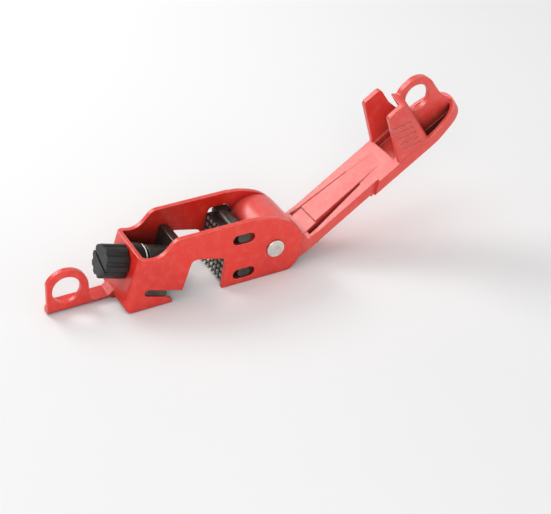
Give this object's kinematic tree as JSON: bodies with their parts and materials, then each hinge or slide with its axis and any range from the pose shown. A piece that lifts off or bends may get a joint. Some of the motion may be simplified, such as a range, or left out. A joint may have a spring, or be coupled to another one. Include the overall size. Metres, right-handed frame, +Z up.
{
  "type": "circuit breaker lockout clamp",
  "caption": "Clamp that grips a circuit-breaker toggle between a thumbscrew jaw and a cam-driven knurled jaw; a folding lever shuts over the screw and takes a padlock.",
  "frame": {"origin": "on the base plane that rests on the breaker face, on the middle plane between the side plates, at the middle of the toggle opening", "axes": "+X to the rear, from the thumbscrew to the lever's pivot; +Z up, away from the breaker; -Y the side with the factory rivet head. At rest the lever stands open."},
  "size_m": [0.1365, 0.0208, 0.0528],
  "materials": {
    "red_coat": "satin powder coat",
    "zinc_steel": "bright zinc plate",
    "plain_steel": "plain turned steel",
    "black_steel": "black oxide, slightly oiled",
    "black_plastic": "moulded, fine grain"
  },
  "bodies": {
    "frame_body": {"body_channel": "red_coat", "pivot_rivet": "zinc_steel", "pivot_sleeve": "plain_steel", "rivet_washer": "plain_steel", "spindle_bush": "black_steel"},
    "lever_body": {"clamp_lever": "red_coat"},
    "rear_jaw_body": {"rear_jaw": "black_steel", "rear_jaw_keys": "black_steel"},
    "front_jaw_body": {"front_jaw": "black_steel"},
    "thumbscrew_body": {"screw_spindle": "black_steel", "retaining_ring": "zinc_steel", "thumbscrew_knob": "black_plastic"}
  },
  "joints": [
    {"name": "lever_hinge", "type": "hinge", "parent": "frame_body", "child": "lever_body", "pos_m": [0.023, 0, 0.0094], "axis": [0, 1, 0], "range_deg": [-146.5, 0]},
    {"name": "rear_jaw_slide", "type": "slide", "parent": "frame_body", "child": "rear_jaw_body", "axis": [-1, 0, 0], "range_m": [0, 0.0017]},
    {"name": "front_jaw_slide", "type": "slide", "parent": "frame_body", "child": "front_jaw_body", "axis": [0.9511, 0, -0.309], "range_m": [0, 0.0056]},
    {"name": "thumbscrew_spin", "type": "hinge", "parent": "frame_body", "child": "thumbscrew_body", "pos_m": [-0.02242, 0, 0.0121], "axis": [0.9511, 0, -0.309], "range_deg": [0, 2521]}
  ],
  "couplings": [
    {"joint": "rear_jaw_slide", "follows": "lever_hinge", "m_per_rad": -0.000664},
    {"joint": "thumbscrew_spin", "follows": "front_jaw_slide", "rad_per_m": 7854}
  ]
}
